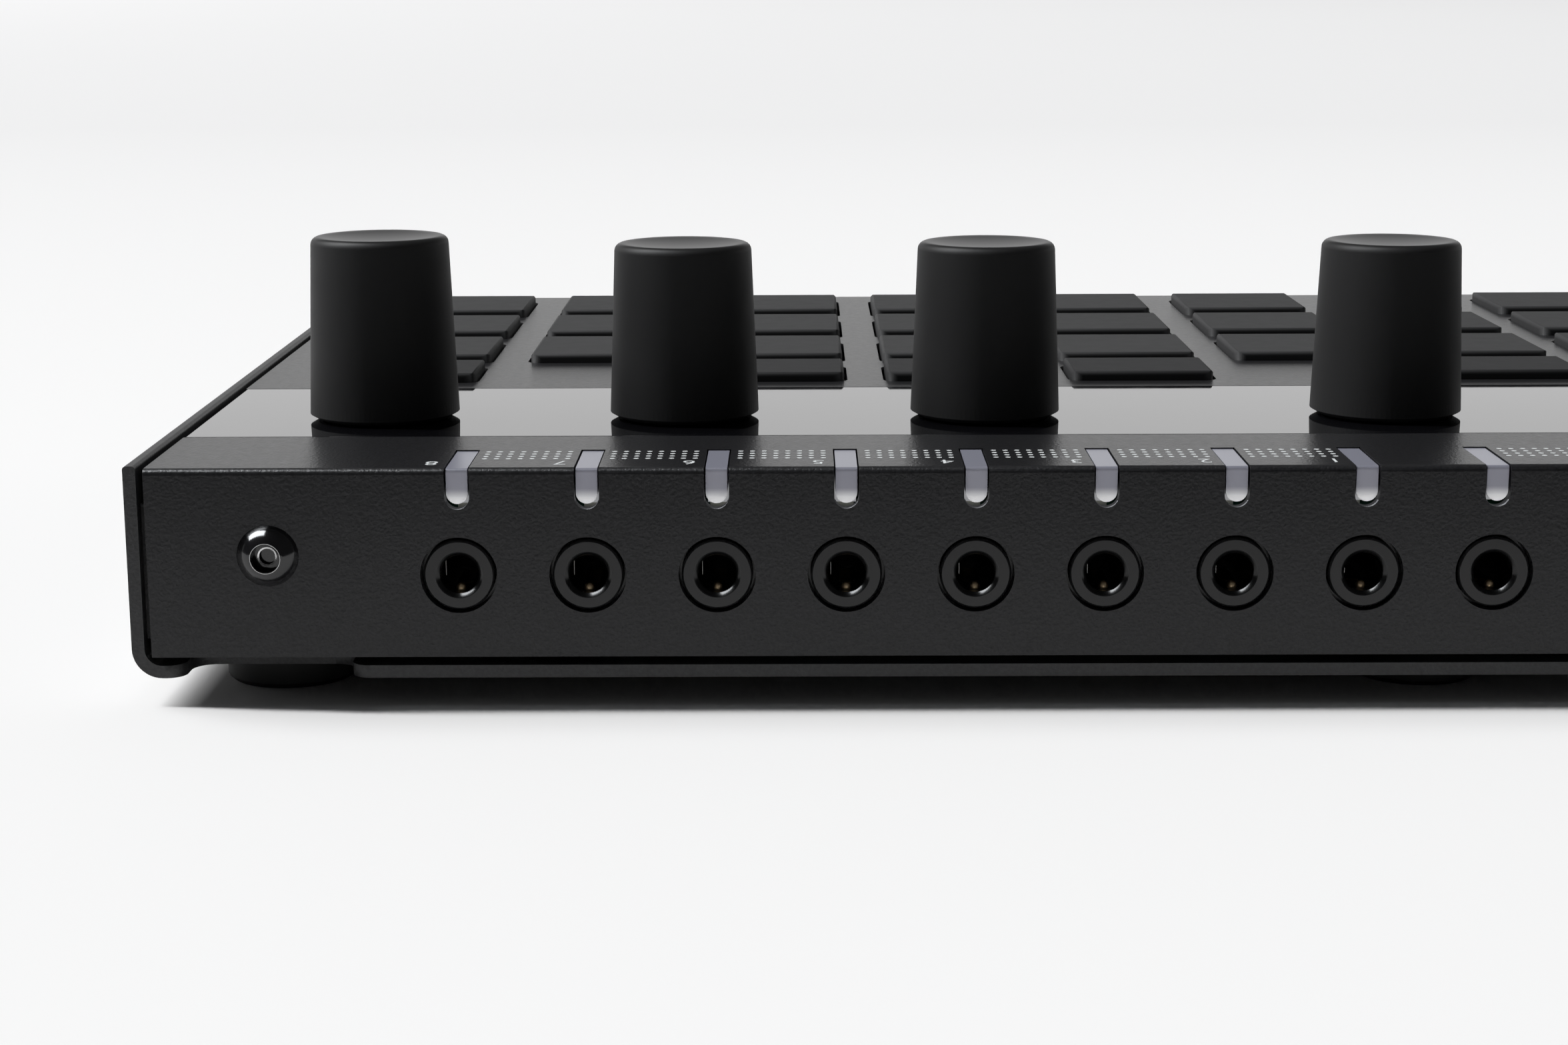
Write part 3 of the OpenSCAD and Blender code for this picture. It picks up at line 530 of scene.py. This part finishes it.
dots()
slot_edges()
guide_tops()
for index in range(1, knob_count + 1):
    knob_skirt(index)
channels = 8
for channel, place in zip(range(channels, 0, -1), jack_places):
    number(channel, place)
spring_tips()
side_springs()
recess_rings("recess_rings", 1.18, ((0.75, 0.0), (0.9, 0.06), (0.9, -0.1), (0.75, -0.1)))
recess_rings("recess_rims", 0.003, ((1.385, 0.0), (1.425, 0.0), (1.425, -0.08), (1.385, -0.08)))


# Stage
def sheet(name, half_width, near, far, height, material):
    """Flat sheet that reaches from near to far along Y."""
    mesh = bpy.data.meshes.new(name)
    corners = ((-half_width, near), (half_width, near), (half_width, far), (-half_width, far))
    mesh.from_pydata([(x, y, height) for x, y in corners], [], [(0, 1, 2, 3)])
    mesh.materials.append(material)
    obj = bpy.data.objects.new(name, mesh)
    scene.collection.objects.link(obj)
    return obj


paper = Shader("paper", (0.9, 0.9, 0.9), 0.9, 0.0)
# Painted shade: the paper's base colour is darker on the far floor behind the object, for the weaker light
# there.
painted_falloff = paper.ramp(paper.axis("Y"), 1.0, 0.0, from_min=-0.85, from_max=-0.08)
paper.drive("Base Color", paper.mix(painted_falloff, (0.92, 0.92, 0.922), (0.825, 0.825, 0.83)))
floor_half = 60.0
floor = sheet("floor", floor_half, -floor_half, floor_half, 0, paper.material)

# A black card on the floor on the camera's side, which only darkens the gloss of what faces it
black = Shader("card", (0.02, 0.02, 0.02), 0.9, 0.0)
card = sheet("card", half_width=4.0, near=0.16, far=4.0, height=0.2 * MM, material=black.material)
card.visible_camera = False
card.visible_diffuse = False
card.visible_transmission = False
card.visible_shadow = False


# Light
def panel_light(name, toward, along, distance, spans, floor_light, color=(1, 1, 1)):
    """Flat panel in the direction toward, seen under the angles spans, long side along the vector along.

    floor_light is what it gives the floor at the origin, as irradiance.
    """
    away = Vector(toward).normalized()
    long_side = (Vector(along) - away * away.dot(Vector(along))).normalized()
    short_side = long_side.cross(away)
    data = bpy.data.lights.new(name, "AREA")
    data.shape = "RECTANGLE"
    data.size_y, data.size = [2 * distance * math.tan(math.radians(a) / 2) for a in spans]
    data.energy = floor_light * math.pi * distance ** 2 / away.z
    data.color = color
    obj = bpy.data.objects.new(name, data)
    scene.collection.objects.link(obj)
    turn = Matrix((short_side, long_side, away)).transposed().to_4x4()
    obj.matrix_world = Matrix.Translation(away * distance) @ turn
    return obj


far_off, close_by = 30.0, 4.0
cool = (0.94, 0.97, 1.0)
panel_light("key", (0.68, -0.092, 0.73), (-0.73, 0.0, 0.68), far_off, (33, 2.8), floor_light=2.27)
panel_light("halo", (0.56, -0.25, 0.79), (-0.8, 0.0, 0.57), far_off, (30, 18), floor_light=0.75)
glint = panel_light("glint", (0.58, 0.135, 0.8), (0.63, -0.24, -0.41), close_by, (44, 18), 4.2, cool)
glint.visible_diffuse = False
glint.visible_camera = False

# Bright low wall behind the object, under a dim ceiling
world = bpy.data.worlds.new("studio")
scene.world = world
world.use_nodes = True
studio = Nodes(world.node_tree)
sky = studio.tree.nodes["Background"]
wall_light, ceiling_light, dimmest = 1.05, 0.1, 0.035
direction = studio.node("ShaderNodeTexCoord").outputs["Generated"]
behind = studio.ramp(studio.part_of(direction, "Y"), 0.0, 1.0, from_min=0.1, from_max=-0.3, smooth=True)
upward = studio.part_of(direction, "Z")
wall = studio.ramp(upward, wall_light, ceiling_light, from_min=0.2, from_max=0.4, smooth=True)
sky_light = studio.math("ADD", studio.math("MULTIPLY", behind, wall), dimmest)
studio.link(sky_light, sky.inputs["Strength"])
sky.inputs["Color"].default_value = (1.0, 1.0, 1.0, 1.0)
scene.view_settings.view_transform = "Standard"

# Camera, fitted to the photo: its place in metres, and its heading, downward look and roll in degrees
camera_place = (0.10968, 0.30966, 0.06805)
heading, downward, camera_roll = 180.374, 11.712, -0.255
camera_data = bpy.data.cameras.new("camera")
camera = bpy.data.objects.new("camera", camera_data)
scene.collection.objects.link(camera)
scene.camera = camera
camera_data.sensor_width = 36.0
camera_data.lens = 62.07
camera_data.clip_start = 0.01
camera_data.clip_end = 100.0
turn = Matrix.Rotation(math.radians(heading), 4, "Z")
tilt = Matrix.Rotation(math.radians(90 - downward), 4, "X")
roll = Matrix.Rotation(math.radians(camera_roll), 4, "Z")
camera.matrix_world = Matrix.Translation(camera_place) @ turn @ tilt @ roll
